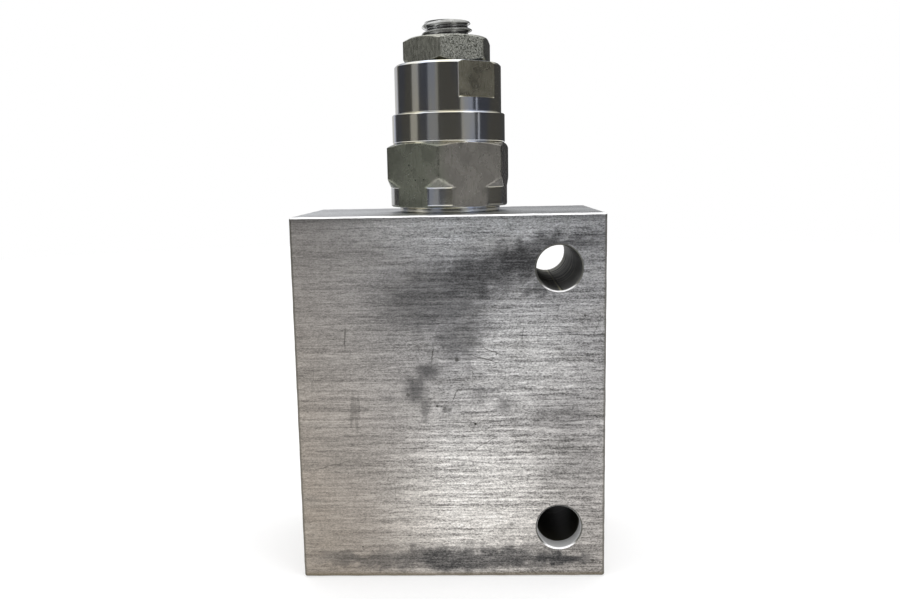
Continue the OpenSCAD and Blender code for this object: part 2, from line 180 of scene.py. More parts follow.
def columns(count, near=()):
    """Angles in degrees round a turn, evenly spaced, with more at and beside the angles in near."""
    turn = set(np.round(np.arange(count) * 360 / count, 3))
    for angle in near:
        turn |= {round((angle + side * s) % 360, 3) for s in (0, 0.35, 0.8, 1.5) for side in (-1, 1)}
    angles = np.array(sorted(turn))
    closest = 0.15
    return angles[np.diff(angles, append=angles[0] + 360) > closest]


def turned_mesh(name, radius, height, angles, closed):
    """A mesh from radius[row, column] and height[row, column] round +Z.

    The rows close on each other, or else start and end on the axis.
    """
    rows, turns = radius.shape
    t = np.radians(angles)
    points = np.stack([radius * np.cos(t), radius * np.sin(t), height], axis=2) * MM
    index = np.arange(rows * turns).reshape(rows, turns)
    verts = points.reshape(-1, 3)
    body = np.vstack([index, index[:1]]) if closed else index[1:-1]
    low, high = body[:-1], body[1:]
    quads = np.stack([low, np.roll(low, -1, 1), np.roll(high, -1, 1), high], axis=2).reshape(-1, 4)
    faces = quads.tolist()
    if not closed:
        for row, ring in ((0, index[1]), (rows - 1, index[rows - 2])):
            pole = int(index[row, 0])
            pairs = zip(ring.tolist(), np.roll(ring, -1).tolist())
            faces += [(pole, b, a) if row == 0 else (pole, a, b) for a, b in pairs]
    mesh = bpy.data.meshes.new(name)
    mesh.from_pydata(verts.tolist(), [], faces)
    clean = bmesh.new()
    clean.from_mesh(mesh)
    loose = [v for v in clean.verts if not v.link_faces]
    bmesh.ops.delete(clean, geom=loose, context="VERTS")
    bmesh.ops.recalc_face_normals(clean, faces=clean.faces)
    clean.to_mesh(mesh)
    clean.free()
    made = bpy.data.objects.new(name, mesh)
    bpy.context.scene.collection.objects.link(made)
    return made


def turned(name, outline, angles, shape=None, closed=True):
    """A solid of revolution from an [r, z] outline; shape(r, z, angles) may change each point's radius."""
    turns = len(angles)
    radius = np.repeat(np.array(outline)[:, :1], turns, axis=1)
    height = np.repeat(np.array(outline)[:, 1:], turns, axis=1)
    if shape:
        radius = shape(radius, height, angles[None, :])
    return turned_mesh(name, radius, height, angles, closed)


def hexagon(angles, across, corner, edge=0.35):
    """Radius of a hexagonal bar at each angle, with a corner at that angle and edges rounded over edge."""
    from_corner = (angles - corner + 30) % 60 - 30
    sides = [across / 2 / np.cos(np.radians(from_corner + s)) for s in (-30, 30)]
    return smooth_min(sides[0], sides[1], edge)


def thread(angles, z, crest_z, pitch, crest_r, depth):
    """Radius of a right-hand thread, whose crest passes crest_z at angle 0.

    The crest takes 6 % of the pitch and the root 14 %; the flanks between are a little rounded.
    """
    turn = ((z - crest_z) / pitch - angles / 360 + 0.5) % 1
    flank = np.clip((np.abs(turn - 0.5) * 2 - 0.06) / 0.8, 0, 1)
    return crest_r - depth * (flank * flank * (3 - 2 * flank) * 0.6 + flank * 0.4)


def corner_angles(corner):
    """Angles of a hexagon's corners, from the angle of one of them."""
    return [corner + i * 60 for i in range(6)]


def sharpen(made, degrees=38):
    """Smooth shading, with edges steeper than that kept sharp."""
    work = bmesh.new()
    work.from_mesh(made.data)
    for face in work.faces:
        face.smooth = True
    for edge in work.edges:
        edge.smooth = edge.is_manifold and edge.calc_face_angle(0) < math.radians(degrees)
    work.to_mesh(made.data)
    work.free()
    return made


def cut(made, cutters):
    """Takes the cutters out of made and removes them."""
    for cutter in cutters:
        step = made.modifiers.new("cut", "BOOLEAN")
        step.operation = "DIFFERENCE"
        step.solver = "MANIFOLD"
        step.object = cutter
    bpy.context.view_layer.update()
    view = bpy.context.evaluated_depsgraph_get()
    mesh = bpy.data.meshes.new_from_object(made.evaluated_get(view))
    made.modifiers.clear()
    made.data = mesh
    for cutter in cutters:
        bpy.data.objects.remove(cutter)
    return made


def place(made, matrix):
    """Moves the mesh itself by the matrix."""
    made.data.transform(matrix)
    return made


def stands_for(made, node, material):
    """made replaces that CAD node, with its material, and rides on the node's body."""
    made.data.materials.clear()
    made.data.materials.append(material)
    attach(made, frame["nodes"][node]["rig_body"])
    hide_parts(node)


def across_x(x_sign, z):
    """Moves a cutter made down -Z from the origin to a port on a side face."""
    turn = Matrix.Rotation(x_sign * math.pi / 2, 4, "Y")
    return Matrix.Translation(Vector((x_sign * BLOCK_HIGH[0], 0, z)) * MM) @ turn


# ---------------------------------------------------------------- camera


def make_camera():
    """Just above the block's top, a little right of its middle, looking slightly down."""
    data = bpy.data.cameras.new("camera")
    data.sensor_width = 36
    data.lens = 35.03
    data.shift_x = -0.0012
    data.shift_y = 0.0098
    camera = bpy.data.objects.new("camera", data)
    yaw, pitch, roll = math.radians(1.912), math.radians(-8.8), math.radians(-1.0386)
    camera.rotation_mode = "QUATERNION"
    turn = Matrix.Rotation(yaw, 3, "Z") @ Matrix.Rotation(math.pi / 2 + pitch, 3, "X")
    camera.rotation_quaternion = (turn @ Matrix.Rotation(roll, 3, "Z")).to_quaternion()
    camera.location = Vector((6.94, -213.32, 93.1)) * MM
    data.clip_start = 0.01
    bpy.context.scene.collection.objects.link(camera)
    bpy.context.scene.camera = camera


# ---------------------------------------------------------------- material tools


class Paint:
    """A node material in millimetres of the row frame, put together by short calls."""

    def __init__(self, name, metallic=1.0, roughness=0.3, **sockets):
        self.material = bpy.data.materials.new(name)
        self.material.use_nodes = True
        self.tree = self.material.node_tree
        self.shader = self.tree.nodes["Principled BSDF"]
        self.shader.inputs["Metallic"].default_value = metallic
        self.shader.inputs["Roughness"].default_value = roughness
        for socket, value in sockets.items():
            self.shader.inputs[socket.replace("_", " ")].default_value = value
        coords = self.tree.nodes.new("ShaderNodeTexCoord").outputs["Object"]
        self.place = self.vector("SCALE", coords, scale=1 / MM)
        split = self.tree.nodes.new("ShaderNodeSeparateXYZ")
        self.link(self.place, split.inputs[0])
        self.x, self.y, self.z = split.outputs

    def link(self, value, socket):
        """Joins an output to the socket, or sets the socket to a constant."""
        if isinstance(value, bpy.types.NodeSocket):
            self.tree.links.new(value, socket)
        else:
            socket.default_value = value

    def math(self, operation, a, b=0.0, clamp=False):
        node = self.tree.nodes.new("ShaderNodeMath")
        node.operation = operation
        node.use_clamp = clamp
        self.link(a, node.inputs[0])
        self.link(b, node.inputs[1])
        return node.outputs[0]

    def vector(self, operation, a, b=(0, 0, 0), scale=1.0):
        node = self.tree.nodes.new("ShaderNodeVectorMath")
        node.operation = operation
        self.link(a, node.inputs[0])
        if operation == "SCALE":
            self.link(scale, node.inputs["Scale"])
        else:
            self.link(b, node.inputs[1])
        return node.outputs["Value" if operation in ("LENGTH", "DOT_PRODUCT") else 0]

    def combine(self, x, y, z):
        node = self.tree.nodes.new("ShaderNodeCombineXYZ")
        for value, socket in zip((x, y, z), node.inputs):
            self.link(value, socket)
        return node.outputs[0]

    def noise(self, where, scale, detail=2.0, rough=0.5):
        node = self.tree.nodes.new("ShaderNodeTexNoise")
        self.link(where, node.inputs["Vector"])
        for socket, value in (("Scale", scale), ("Detail", detail), ("Roughness", rough)):
            node.inputs[socket].default_value = value
        return node.outputs["Fac"]

    def cells(self, where, scale):
        """Distance to the nearest of points scattered at that many a millimetre."""
        node = self.tree.nodes.new("ShaderNodeTexVoronoi")
        self.link(where, node.inputs["Vector"])
        node.inputs["Scale"].default_value = scale
        return node.outputs["Distance"]

    def remap(self, value, low, high, to_low=0.0, to_high=1.0, smooth=True):
        """to_low where value is low and to_high where it is high, and between them in between."""
        node = self.tree.nodes.new("ShaderNodeMapRange")
        node.interpolation_type = "SMOOTHSTEP" if smooth else "LINEAR"
        self.link(value, node.inputs["Value"])
        ends = {"From Min": low, "From Max": high, "To Min": to_low, "To Max": to_high}
        for socket, number in ends.items():
            self.link(number, node.inputs[socket])
        return node.outputs[0]

    def mix(self, amount, a, b):
        """Colour a where amount is 0 and b where it is 1."""
        node = self.tree.nodes.new("ShaderNodeMix")
        node.data_type = "RGBA"
        self.link(amount, node.inputs["Factor"])
        for value, socket in ((a, node.inputs["A"]), (b, node.inputs["B"])):
            self.link((*value, 1.0) if isinstance(value, tuple) else value, socket)
        return node.outputs["Result"]

    def mix_value(self, amount, a, b):
        """a where amount is 0 and b where it is 1."""
        return self.remap(amount, 0.0, 1.0, a, b, smooth=False)

    def shift(self, where, offset=(0, 0, 0), turn=(0, 0, 0), size=(1, 1, 1)):
        """Coordinates of where within a box of that size, turned in degrees, at offset."""
        node = self.tree.nodes.new("ShaderNodeMapping")
        node.vector_type = "TEXTURE"
        self.link(where, node.inputs["Vector"])
        node.inputs["Location"].default_value = offset
        node.inputs["Rotation"].default_value = [math.radians(t) for t in turn]
        node.inputs["Scale"].default_value = size
        return node.outputs[0]

    def facing(self, axis):
        """How far the surface faces along an axis, from 0 to 1."""
        normal = self.tree.nodes.new("ShaderNodeTexCoord").outputs["Normal"]
        along = self.vector("DOT_PRODUCT", normal, axis)
        return self.math("ABSOLUTE", along)

    def bump(self, height, depth):
        """A bump of that depth in millimetres, for a height from 0 to 1."""
        node = self.tree.nodes.new("ShaderNodeBump")
        node.inputs["Distance"].default_value = depth * MM
        self.link(height, node.inputs["Height"])
        return node.outputs[0]

    def finish(self, colour, roughness=None, normal=None):
        """The material, with those sockets joined."""
        self.link(colour, self.shader.inputs["Base Color"])
        if roughness is not None:
            self.link(roughness, self.shader.inputs["Roughness"])
        if normal is not None:
            self.link(normal, self.shader.inputs["Normal"])
        return self.material


# ---------------------------------------------------------------- materials

# The two tints that each plated or ground steel drifts between, from left to right. On the hexagon the drift,
# olive on the left and warm on the right, is a painted reflection.
HEXAGON_TINTS = (0.264, 0.275, 0.222), (0.29, 0.275, 0.25)
CAP_TINTS = (0.35, 0.33, 0.24), (0.36, 0.34, 0.265)
SCREW_TINTS = (0.52, 0.525, 0.52), (0.34, 0.34, 0.33)
GROUND_TINTS = (0.56, 0.57, 0.58), (0.5, 0.5, 0.5)
WIRE_TINTS = (0.2, 0.2, 0.21), (0.3, 0.28, 0.26)

# Broad painted highlights on the front face: centre x and z, half width, half height, strength.
PAINTED_HIGHLIGHTS = (
    (6.0, 17.0, 28.0, 32.0, 0.92),
    (16.0, 52.0, 18.0, 17.0, 0.50),
    (3.0, 84.0, 38.0, 12.0, 0.74),
)

# Oil stains on the front face: centre x and z, half width, half height, turn in degrees, strength.
STAINS = (
    (15.5, 73.4, 9.0, 5.0, -8, 1.0),
    (24.5, 77.6, 13.0, 2.0, -3, 0.80),
    (6.0, 70.0, 14.0, 6.0, -16, 0.88),
    (-3.0, 65.5, 17.0, 8.5, -14, 0.70),
    (2.5, 57.5, 8.0, 5.0, -30, 0.60),
    (20.0, 67.0, 5.5, 1.6, 0, 0.70),
    (12.3, 41.1, 4.0, 2.4, 0, 0.40),
    (25.0, 38.5, 8.0, 4.0, 0, 0.30),
    (27.0, 27.0, 9.0, 7.0, 0, 0.18),
    (5.0, 4.4, 27.0, 3.6, 0, 0.90),
    (23.8, 4.4, 8.0, 2.3, 0, 1.0),
    (-18.0, 4.0, 15.0, 2.0, 3, 0.60),
)

# Small blots, given the same way.
BLOTS = (
    (-4.9, 48.9, 2.7, 2.0, 0, 0.80),
    (-8.1, 44.7, 2.4, 3.2, -20, 0.80),
    (-6.7, 47.0, 1.3, 2.4, 40, 0.60),
    (-5.8, 40.1, 0.9, 3.2, 0, 0.55),
    (-5.6, 43.4, 1.0, 2.6, 0, 0.35),
    (5.2, 55.7, 1.4, 1.0, 0, 0.60),
    (3.6, 54.0, 1.2, 1.4, 0, 0.60),
    (4.3, 50.2, 0.7, 3.4, 0, 0.35),
    (9.7, 44.6, 1.2, 0.7, 0, 0.75),
    (7.0, 44.5, 2.6, 0.6, 0, 0.50),
    (6.2, 42.8, 1.6, 1.8, 0, 0.35),
    (12.3, 40.9, 1.8, 1.2, 0, 0.60),
    (11.6, 42.4, 0.9, 0.6, 0, 0.5),
    (-14.0, 43.0, 2.0, 1.0, 0, 0.30),
    (-25.0, 3.2, 1.0, 0.9, 0, 0.60),
    (-1.0, 40.2, 1.3, 0.7, 0, 0.40),
    (13.5, 12.5, 1.0, 0.8, 0, 0.30),
)

# Scuffs and scratches on the front face, given the same way.
SCRATCHES = (
    (-22.4, 40.0, 0.58, 5.0, 3, 0.34),
    (-21.6, 39.0, 0.53, 5.4, -3, 0.31),
    (-20.9, 41.0, 0.50, 4.0, 0, 0.28),
    (-23.4, 57.0, 0.20, 3.4, 2, 0.5),
    (-27.0, 27.3, 6.5, 0.11, -14, 0.5),
    (9.6, 53.4, 3.5, 0.13, 22, 0.75),
    (14.4, 52.2, 2.2, 0.12, 6, 0.6),
    (7.9, 51.8, 4.2, 0.13, 17, 0.7),
    (10.2, 53.2, 1.1, 0.12, 55, 0.5),
    (7.2, 31.9, 4.6, 0.12, -29, 0.6),
    (13.2, 35.2, 2.0, 0.11, -20, 0.45),
    (18.0, 24.8, 4.6, 0.10, -12, 0.3),
    (-13.0, 20.0, 0.11, 6.0, -4, 0.3),
    (-3.8, 52.9, 0.16, 2.0, 8, 0.7),
    (1.1, 43.4, 0.16, 1.9, 27, 0.65),
    (5.0, 48.6, 0.12, 1.6, 2, 0.5),
    (16.5, 57.5, 0.15, 1.8, 10, 0.45),
    (33.0, 59.0, 0.12, 3.6, 24, 0.45),
    (24.5, 31.0, 0.14, 2.6, 6, 0.3),
    (-31.0, 48.0, 0.11, 4.0, 8, 0.3),
    (18.9, 0.9, 0.9, 0.2, 40, 0.6),
)

# Round pits and specks on the front face: x, z, radius, strength.
PITS = (
    (5.6, 36.7, 0.30, 1.0),
    (1.6, 51.6, 0.50, 0.75),
    (-3.0, 41.0, 0.34, 0.7),
    (-1.4, 40.3, 0.50, 0.5),
    (-0.2, 40.0, 0.45, 0.5),
    (-9.6, 43.6, 0.50, 0.6),
    (32.3, 3.8, 0.4, 0.7),
    (13.6, 12.8, 0.5, 0.45),
    (30.2, 61.4, 0.3, 0.7),
    (-21.0, 7.4, 0.25, 0.7),
    (-0.6, 13.0, 0.25, 0.5),
)


# How far behind the front face, in millimetres, the painted highlights and the marks still show.
HIGHLIGHT_DEPTH, MARK_DEPTH = 40, 14


def drifting(p, scale, reach, offset, detail=4.0):
    """Coordinates moved about by up to half of reach, to make the outlines of marks ragged."""
    where = p.vector("ADD", p.place, offset)
    other = p.vector("ADD", p.place, (31.0, 7.0, 3.0))
    off = p.combine(p.noise(where, scale, detail, 0.6), 0.5, p.noise(other, scale, detail, 0.6))
    off = p.vector("SUBTRACT", off, (0.5, 0.5, 0.5))
    return p.vector("ADD", p.place, p.vector("SCALE", off, scale=reach))


def marked(p, value, where, marks, edge, core, share=1.0):
    """value, raised to share of a mark's strength inside its ellipse on the front face.

    A mark is full inside core times its ellipse, and fades to nothing at edge times it.
    """
    for x, z, half_w, half_h, turn, strength in marks:
        spot = p.shift(where, (x, BLOCK_LOW[1], z), (0, turn, 0), (half_w, MARK_DEPTH, half_h))
        mark = p.remap(p.vector("LENGTH", spot), edge, core, 0.0, strength * share)
        value = p.math("MAXIMUM", mark, value)
    return value


def front_marks(p, lines):
    """How strong the painted highlights, the stains and the scratches are, each from 0 to 1."""
    ragged = drifting(p, 0.30, 8.0, (0.0, 0.0, 0.0), 3.0)
    wavy = drifting(p, 0.5, 1.2, (5.0, 17.0, 9.0))
    painted_highlight = 0.0
    for x, z, half_w, half_h, strength in PAINTED_HIGHLIGHTS:
        spot = p.shift(ragged, (x, BLOCK_LOW[1], z), size=(half_w, HIGHLIGHT_DEPTH, half_h))
        painted_highlight = p.math("ADD", painted_highlight, p.remap(p.vector("LENGTH", spot), 1.0, 0.15, 0.0, strength))
    painted_highlight = p.math("MINIMUM", painted_highlight, 1.0)
    stain = marked(p, 0.0, ragged, STAINS, 1.25, 0.35)
    stain = p.math("MULTIPLY", stain, p.remap(lines, 0.36, 0.62, 1.1, 0.8), clamp=True)
    frayed = drifting(p, 0.9, 3.0, (11.0, 3.0, 8.0))
    stain = marked(p, stain, frayed, BLOTS, 1.5, 0.2, share=0.9)
    scratch = marked(p, 0.0, wavy, SCRATCHES, 1.1, 0.5)
    pits = [(x, z, r, r, 0, strength) for x, z, r, strength in PITS]
    scratch = marked(p, scratch, p.place, pits, 1.2, 0.6)
    specks = p.remap(p.cells(p.place, 0.42), 0.07, 0.03, 0.0, 0.6)
    return painted_highlight, stain, p.math("MAXIMUM", scratch, specks)


def face_colour(p, lines, broad, painted_highlight, stain, scratch):
    """The faces' colour: warm at the lower left, cool at the top, with grooves and marks.

    Painted highlights lighten broad patches, the top face and the top edges; the side edges are darker.
    """
    cool = p.math("ADD", p.math("MULTIPLY", p.math("MINIMUM", p.x, 0.0), 1.95), p.z)
    cool = p.remap(cool, -49, 100, smooth=False)
    plain = p.mix(cool, (0.322, 0.283, 0.241), (0.36, 0.37, 0.39))
    # The painted highlights take this lighter tint.
    bright = p.mix(cool, (0.65, 0.59, 0.52), (0.61, 0.63, 0.655))
    colour = p.mix(painted_highlight, plain, bright)
    # Faces that point up or down are painted a lighter grey: painted light on the top face.
    level = p.remap(p.facing((0, 0, 1)), 0.3, 0.6)
    colour = p.mix(level, colour, (0.54, 0.55, 0.565))
    colour = p.mix(p.remap(broad, 0.55, 0.3, 0.0, 0.25), colour, (0.26, 0.25, 0.23))
    colour = p.mix(p.math("MULTIPLY", stain, 0.95), colour, (0.060, 0.060, 0.062))
    contrast = p.remap(p.math("ADD", p.x, p.math("MULTIPLY", painted_highlight, 10)), -30, 12, 3.4, 6.6)
    contrast = p.math("MULTIPLY", contrast, p.mix_value(stain, 1.0, 0.4))
    gain = p.math("ADD", p.math("MULTIPLY", p.math("SUBTRACT", lines, 0.5), contrast), 1.0)
    colour = p.vector("SCALE", colour, scale=p.math("MINIMUM", p.math("MAXIMUM", gain, 0.3), 2.2))
    colour = p.vector("MINIMUM", colour, (0.95, 0.95, 0.95))
    colour = p.mix(scratch, colour, (0.05, 0.048, 0.042))
    # Darker brown along the bottom 1.5 mm of the block.
    bottom_band = p.remap(p.z, 1.5, 0.3, 0.0, 0.75)
    colour = p.mix(bottom_band, colour, (0.17, 0.14, 0.085))
    # The left and right edges of the front and back faces are painted darker.
    rim = p.remap(p.math("ABSOLUTE", p.x), BLOCK_HIGH[0] - 0.75, BLOCK_HIGH[0] - 0.35, 0.0, 0.7)
    rim = p.math("MULTIPLY", rim, p.remap(p.facing((0, 1, 0)), 0.3, 0.35))
    colour = p.mix(rim, colour, (0.11, 0.105, 0.085))
    # The bevels along the top edges are painted near white: a painted highlight.
    edge_highlight = p.remap(p.z, TOP_Z - 0.55, TOP_Z - 0.45)
    edge_highlight = p.math("MULTIPLY", edge_highlight, p.remap(p.facing((0, 0, 1)), 0.25, 0.4))
    edge_highlight = p.math("MULTIPLY", edge_highlight, p.remap(p.facing((0, 0, 1)), 0.98, 0.9))
    return p.mix(edge_highlight, colour, (0.96, 0.96, 0.96))


def bore_wall(p, deep, rings, middle):
    """Colour inside the bolt holes, painted dark as the shade in them.

    The upper one has machining rings, two lines along it and a painted shade at the upper right. The lower
    one has a painted pool of light on its first stretch and painted shade beyond it.
    first stretch.
    """
    ringed = p.mix(p.remap(rings, 0.42, 0.6), (0.05, 0.05, 0.035), (0.42, 0.41, 0.34))
    wall = p.mix(p.remap(deep, 5, 16, 0.0, 0.9), (0.13, 0.13, 0.125), ringed)
    # The upper right of the upper hole's wall is painted nearly black: painted shade.
    corner = p.remap(p.math("ADD", p.x, p.z), MOUNT_X + MOUNT_ZS[1] + 2, MOUNT_X + MOUNT_ZS[1] + 5)
    wall = p.mix(p.math("MULTIPLY", corner, 0.75), wall, (0.01, 0.01, 0.01))
    # The lower hole's first 3.6 mm are painted light and the rest nearly black: painted light at the mouth,
    # painted shade deeper in.
    below = p.mix(p.remap(deep, 3.6, 3.9), (0.62, 0.62, 0.62), (0.012, 0.010, 0.004))
    for offset, shade in ((0.75, (0.03, 0.03, 0.015)), (0.35, (0.5, 0.48, 0.34))):
        aside = p.math("ABSOLUTE", p.math("SUBTRACT", p.x, MOUNT_X + offset))
        wall = p.mix(p.remap(aside, 0.26, 0.1, 0.0, 0.8), wall, shade)
    return p.mix(p.remap(p.z, middle, middle - 1), wall, below)


def block_paint():
    """Sawn and brushed aluminium: fine grooves along X, oil stains, scratches and bored holes."""
    p = Paint("brushed_aluminium", roughness=0.36, Anisotropic=0.4)
    side = p.remap(p.facing((1, 0, 0)), 0.6, 0.8)
    along = p.mix_value(side, p.x, p.y)
    wide = p.mix_value(side, p.y, p.x)

    def grain(stretch, scale, detail=2.0, rough=0.6):
        return p.noise(p.combine(p.math("MULTIPLY", along, stretch), wide, p.z), scale, detail, rough)

    long_lines = grain(0.03, 1.6)
    short_lines = grain(0.10, 2.8, 3.0, 0.7)
    grit = grain(0.55, 4.4, 2.0, 0.7)
    broad = grain(0.4, 0.14, 3.0, 0.6)
    lines = p.math("ADD", p.math("MULTIPLY", long_lines, 0.28), p.math("MULTIPLY", short_lines, 0.31))
    lines = p.math("ADD", lines, p.math("MULTIPLY", grit, 0.41))
    painted_highlight, stain, scratch = front_marks(p, lines)
    colour = face_colour(p, lines, broad, painted_highlight, stain, scratch)

    middle = (MOUNT_ZS[0] + MOUNT_ZS[1]) / 2
    rise = p.math("SUBTRACT", p.math("ABSOLUTE", p.math("SUBTRACT", p.z, middle)), MOUNT_ZS[1] - middle)
    away = p.vector("LENGTH", p.combine(p.math("SUBTRACT", p.x, MOUNT_X), 0.0, rise))
    in_bore = p.remap(away, MOUNT_R * 1.03, MOUNT_R * 1.01)
    # The mouth chamfers of both holes are painted near white low down and dark grey above: painted highlight
    # below, painted shade above.
    lip = p.remap(away, MOUNT_R * 1.13, MOUNT_R * 1.11)
    lip = p.math("MULTIPLY", lip, p.remap(p.facing((0, 1, 0)), 0.97, 0.9))
    under = p.remap(p.z, MOUNT_ZS[1] - 3.4, MOUNT_ZS[1] - 4.6)
    under = p.math("MULTIPLY", under, p.remap(p.z, middle, middle + 1))
    under = p.math("MAXIMUM", under, p.remap(p.z, MOUNT_ZS[0] - 3.4, MOUNT_ZS[0] - 4.6))
    colour = p.mix(lip, colour, p.mix(under, (0.20, 0.20, 0.18), (0.95, 0.95, 0.95)))
    deep = p.math("SUBTRACT", p.y, BLOCK_LOW[1])
    rings = p.noise(p.combine(0.0, p.math("MULTIPLY", p.y, 0.4), 0.0), 1.0, 3.0, 0.7)
    wall = bore_wall(p, deep, rings, middle)
    p.link(p.mix_value(in_bore, 1.0, 0.1), p.shader.inputs["Metallic"])
    colour = p.mix(in_bore, colour, wall)
    roughness = p.remap(lines, 0.4, 0.6, 0.42, 0.32)
    roughness = p.math("ADD", roughness, p.math("MULTIPLY", stain, 0.12))
    roughness = p.mix_value(in_bore, roughness, 0.55)
    height = p.math("SUBTRACT", lines, p.math("MULTIPLY", scratch, 0.5))
    rings = p.math("MULTIPLY", rings, p.remap(deep, 8, 24, 0.6, 4.0))
    height = p.mix_value(in_bore, height, rings)
    tangent = p.tree.nodes.new("ShaderNodeTangent")
    tangent.direction_type = "RADIAL"
    tangent.axis = "Z"
    p.link(tangent.outputs[0], p.shader.inputs["Tangent"])
    return p.finish(colour, roughness, p.bump(height, 0.05))


def plated_paint(name, base, tint, roughness, speckle, pits=0.0, rings=0.0, zone=None):
    """Zinc-plated steel: slow tints, speckle, drawn-out pits and turning rings. zone(p) is 1 where glossy."""
    p = Paint(name, roughness=roughness)
    cloud = p.noise(p.place, 0.22, 2.0, 0.5)
    grain = p.noise(p.place, 5.0, 3.0, 0.7)
    drawn = p.vector("MULTIPLY", p.place, (1.0, 1.0, 0.35))
    streaks = p.noise(p.vector("MULTIPLY", p.place, (1.0, 1.0, 0.12)), 3.5, 2.0, 0.6)
    pit = p.remap(p.cells(drawn, 1.3), 0.16, 0.07, 0.0, pits)
    few = p.remap(p.cells(p.place, 0.28), 0.075, 0.05, 0.0, min(1.0, pits * 2))
    pit = p.math("MAXIMUM", pit, few)
    turned_lines = p.noise(p.combine(0.0, 0.0, p.z), 5.0, 3.0, 0.75)
    glossy = zone(p) if zone else 0.0
    rough_only = p.math("SUBTRACT", 1.0, glossy)
    # The tint drifts with x and at random; on the hexagon the drift with x is a painted reflection.
    patch = p.math("ADD", p.math("MULTIPLY", cloud, 0.6), p.math("MULTIPLY", p.x, 0.06))
    colour = p.mix(p.remap(patch, 0.05, 0.35), base, tint)
    light = p.math("MULTIPLY", p.remap(grain, 0.54, 0.78, 0.0, speckle), rough_only)
    dark = p.math("MULTIPLY", p.remap(grain, 0.46, 0.22, 0.0, speckle), rough_only)
    colour = p.mix(light, colour, (0.92, 0.92, 0.88))
    colour = p.mix(dark, colour, (0.10, 0.10, 0.08))
    colour = p.mix(p.remap(streaks, 0.5, 0.3, 0.0, 0.42), colour, (0.12, 0.13, 0.10))
    film = p.noise(p.vector("MULTIPLY", p.place, (1.0, 1.0, 0.1)), 0.16, 2.0, 0.5)
    film = p.mix(p.remap(film, 0.38, 0.62), (0.60, 0.64, 0.74), (0.78, 0.75, 0.63))
    colour = p.mix(glossy, colour, film)
    colour = p.mix(p.math("MULTIPLY", pit, rough_only), colour, (0.03, 0.035, 0.03))
    # Scattered near-white dots: painted glints.
    painted_glints = p.remap(p.cells(p.vector("ADD", p.place, (9.0, 4.0, 2.0)), 0.9), 0.075, 0.045)
    colour = p.mix(p.math("MULTIPLY", painted_glints, 0.8), colour, (0.95, 0.95, 0.95))
    height = p.math("MULTIPLY", p.math("ADD", grain, p.math("MULTIPLY", streaks, 0.6)), speckle * 1.6)
    height = p.math("SUBTRACT", height, pit)
    height = p.math("MULTIPLY", height, rough_only)
    height = p.math("ADD", height, p.math("MULTIPLY", turned_lines, rings))
    satin = p.remap(cloud, 0.3, 0.7, roughness * 0.85, roughness * 1.2)
    return p.finish(colour, p.mix_value(glossy, satin, 0.13), p.bump(height, 0.02))


def turned_zone(p):
    """1 on the cartridge's turned faces: land, foot, collar and all below. 0 on the hexagon's flats."""
    away = p.vector("LENGTH", p.vector("MULTIPLY", p.place, (1.0, 1.0, 0.0)))
    foot = p.remap(away, FOOT_R - 0.03, FOOT_R - 0.02)
    foot = p.math("MULTIPLY", foot, p.remap(p.z, HEX_Z + FOOT_H + 0.1, HEX_Z + FOOT_H))
    above = p.remap(p.z, HEX_TOP_Z - 0.1, HEX_TOP_Z)
    below = p.remap(p.z, HEX_Z + 0.1, HEX_Z)
    return p.math("MAXIMUM", foot, p.math("MAXIMUM", above, below))


def cap_zone(p):
    """1 on the cap's turned faces, 0 on its wrench flats."""
    away = p.vector("LENGTH", p.vector("MULTIPLY", p.place, (1.0, 1.0, 0.0)))
    bevel = CAP_R + CAP_TOP_Z - CAP_BEVEL
    round_side = p.remap(away, CAP_R - 0.06, CAP_R - 0.03)
    glossy = p.math("MAXIMUM", round_side, p.remap(p.z, CAP_TOP_Z - 0.1, CAP_TOP_Z - 0.02))
    return p.math("MAXIMUM", glossy, p.remap(p.math("ADD", away, p.z), bevel - 0.06, bevel - 0.03))


def nut_paint():
    """Plated nut: every other flat drawn smooth, the rest crackled by cold forging.

    The crackle's bright and dark flecks are painted glints and shade.
    """
    p = Paint("plated_nut", roughness=0.3)
    turn = p.math("ARCTAN2", p.x, p.math("MULTIPLY", p.y, -1))
    turn = p.math("SUBTRACT", turn, math.radians(30 - NUT_TURN))
    wave = p.math("COSINE", p.math("MULTIPLY", turn, 3))
    crackled = p.remap(wave, -0.1, 0.25)
    grain = p.noise(p.vector("MULTIPLY", p.place, (1.0, 1.0, 0.75)), 3.1, 3.0, 0.75)
    veins = p.math("ABSOLUTE", p.math("SUBTRACT", grain, 0.5))
    streaks = p.noise(p.vector("MULTIPLY", p.place, (1.0, 1.0, 0.25)), 3.0, 3.0, 0.6)
    fine = p.noise(p.place, 6.0, 2.0, 0.6)
    smooth_side = p.mix(p.remap(streaks, 0.3, 0.7), (0.20, 0.20, 0.17), (0.40, 0.40, 0.345))
    # The light and dark flecks and bright veins of the crackled flats are painted glints and shade.
    rough_side = p.mix(p.remap(grain, 0.38, 0.66), (0.085, 0.088, 0.072), (0.48, 0.485, 0.43))
    rough_side = p.mix(p.remap(veins, 0.03, 0.0, 0.0, 0.7), rough_side, (0.80, 0.80, 0.76))
    rough_side = p.mix(p.remap(fine, 0.45, 0.25, 0.0, 0.8), rough_side, (0.10, 0.10, 0.09))
    colour = p.mix(crackled, smooth_side, rough_side)
    height = p.math("MULTIPLY", streaks, 0.4)
    height = p.math("ADD", height, p.math("MULTIPLY", crackled, p.math("MULTIPLY", grain, 3.0)))
    return p.finish(colour, p.remap(grain, 0.3, 0.7, 0.38, 0.24), p.bump(height, 0.03))


